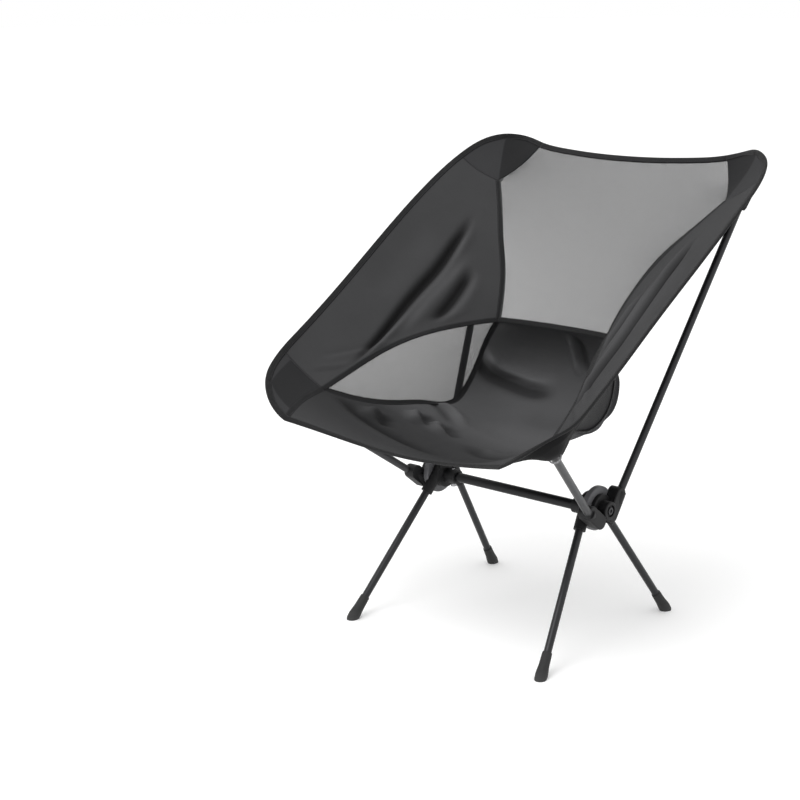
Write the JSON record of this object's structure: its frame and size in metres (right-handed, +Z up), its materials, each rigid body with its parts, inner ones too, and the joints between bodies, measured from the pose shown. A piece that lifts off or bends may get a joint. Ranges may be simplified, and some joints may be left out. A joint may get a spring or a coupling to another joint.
{
  "type": "ultralight backpacking chair",
  "caption": "Low packable camping chair: a charcoal fabric and mesh bucket sling on four pole tips, two black hubs on a crossbar, four pull-out legs with rubber feet.",
  "frame": {"origin": "On the ground, at the middle of the chair's width and depth.", "axes": "+Z up, -Y the way the sitter faces, +X to the sitter's left."},
  "size_m": [0.5514, 0.55, 0.6621],
  "materials": {
    "black_tube": "satin black anodised aluminium tube",
    "grey_tube": "satin dark grey anodised aluminium tube",
    "ferrule_metal": "bare aluminium rod",
    "pin_steel": "darkened steel pin",
    "hub_plastic": "fine textured black nylon",
    "ring_plastic": "dark grey moulded nylon",
    "foot_rubber": "soft matt black rubber",
    "shock_cord": "braided elastic cord",
    "webbing": "woven grey webbing",
    "pocket_cloth": "doubled coated polyester",
    "sling_cloth": "plain woven polyester, charcoal",
    "sling_mesh": "open black polyester mesh, see-through",
    "binding": "folded grosgrain tape"
  },
  "bodies": {
    "seat_frame": {"crossbar": "black_tube", "crossbar_pins": "pin_steel", "hub_left": "hub_plastic", "hub_ring_left": "ring_plastic", "leg_cord_front_left": "shock_cord", "pocket_cup_front_left": "webbing", "sling_pocket_front_left": "pocket_cloth", "leg_cord_rear_left": "shock_cord", "pocket_cup_rear_left": "webbing", "sling_pocket_rear_left": "pocket_cloth", "sling_wing_left": "sling_cloth", "sling_side_mesh_left": "sling_mesh", "sling_hem_side_left": "binding", "sling_seam_back_left": "binding", "sling_seam_wing_left": "binding", "sling_seam_seat_left": "binding", "hub_right": "hub_plastic", "hub_ring_right": "ring_plastic", "leg_cord_front_right": "shock_cord", "pocket_cup_front_right": "webbing", "sling_pocket_front_right": "pocket_cloth", "leg_cord_rear_right": "shock_cord", "pocket_cup_rear_right": "webbing", "sling_pocket_rear_right": "pocket_cloth", "sling_wing_right": "sling_cloth", "sling_side_mesh_right": "sling_mesh", "sling_hem_side_right": "binding", "sling_seam_back_right": "binding", "sling_seam_wing_right": "binding", "sling_seam_seat_right": "binding", "sling_back_mesh": "sling_mesh", "sling_seat": "sling_cloth", "sling_hem_top": "binding", "sling_hem_front": "binding", "sling_seam_middle": "binding"},
    "lower_leg_front_left": {"leg_front_left": "black_tube", "foot_front_left": "foot_rubber"},
    "upper_pole_front_left": {"pole_front_left": "grey_tube", "pole_tip_front_left": "hub_plastic"},
    "lower_leg_rear_left": {"leg_rear_left": "black_tube", "foot_rear_left": "foot_rubber"},
    "upper_pole_rear_left": {"pole_rear_lower_left": "black_tube", "ferrule_left": "ferrule_metal", "pole_rear_upper_left": "black_tube", "pole_tip_rear_left": "hub_plastic"},
    "lower_leg_front_right": {"leg_front_right": "black_tube", "foot_front_right": "foot_rubber"},
    "upper_pole_front_right": {"pole_front_right": "grey_tube", "pole_tip_front_right": "hub_plastic"},
    "lower_leg_rear_right": {"leg_rear_right": "black_tube", "foot_rear_right": "foot_rubber"},
    "upper_pole_rear_right": {"pole_rear_lower_right": "black_tube", "ferrule_right": "ferrule_metal", "pole_rear_upper_right": "black_tube", "pole_tip_rear_right": "hub_plastic"}
  },
  "joints": [
    {"name": "pull_leg_front_left", "type": "slide", "parent": "seat_frame", "child": "lower_leg_front_left", "axis": [0.152, -0.6033, -0.7829], "range_m": [0, 0.06], "stiffness_N_per_m": 100, "springref_m": -0.15},
    {"name": "lift_pole_front_left", "type": "slide", "parent": "seat_frame", "child": "upper_pole_front_left", "axis": [0.3036, -0.751, 0.5864], "range_m": [0, 0.008], "stiffness_N_per_m": 100, "springref_m": -0.15},
    {"name": "pull_leg_rear_left", "type": "slide", "parent": "seat_frame", "child": "lower_leg_rear_left", "axis": [0.1348, 0.5585, -0.8185], "range_m": [0, 0.06], "stiffness_N_per_m": 100, "springref_m": -0.15},
    {"name": "lift_pole_rear_left", "type": "slide", "parent": "seat_frame", "child": "upper_pole_rear_left", "axis": [0.1385, 0.4513, 0.8815], "range_m": [0, 0.008], "stiffness_N_per_m": 100, "springref_m": -0.15},
    {"name": "pull_leg_front_right", "type": "slide", "parent": "seat_frame", "child": "lower_leg_front_right", "axis": [-0.152, -0.6033, -0.7829], "range_m": [0, 0.06], "stiffness_N_per_m": 100, "springref_m": -0.15},
    {"name": "lift_pole_front_right", "type": "slide", "parent": "seat_frame", "child": "upper_pole_front_right", "axis": [-0.3036, -0.751, 0.5864], "range_m": [0, 0.008], "stiffness_N_per_m": 100, "springref_m": -0.15},
    {"name": "pull_leg_rear_right", "type": "slide", "parent": "seat_frame", "child": "lower_leg_rear_right", "axis": [-0.1348, 0.5585, -0.8185], "range_m": [0, 0.06], "stiffness_N_per_m": 100, "springref_m": -0.15},
    {"name": "lift_pole_rear_right", "type": "slide", "parent": "seat_frame", "child": "upper_pole_rear_right", "axis": [-0.1385, 0.4513, 0.8815], "range_m": [0, 0.008], "stiffness_N_per_m": 100, "springref_m": -0.15}
  ]
}
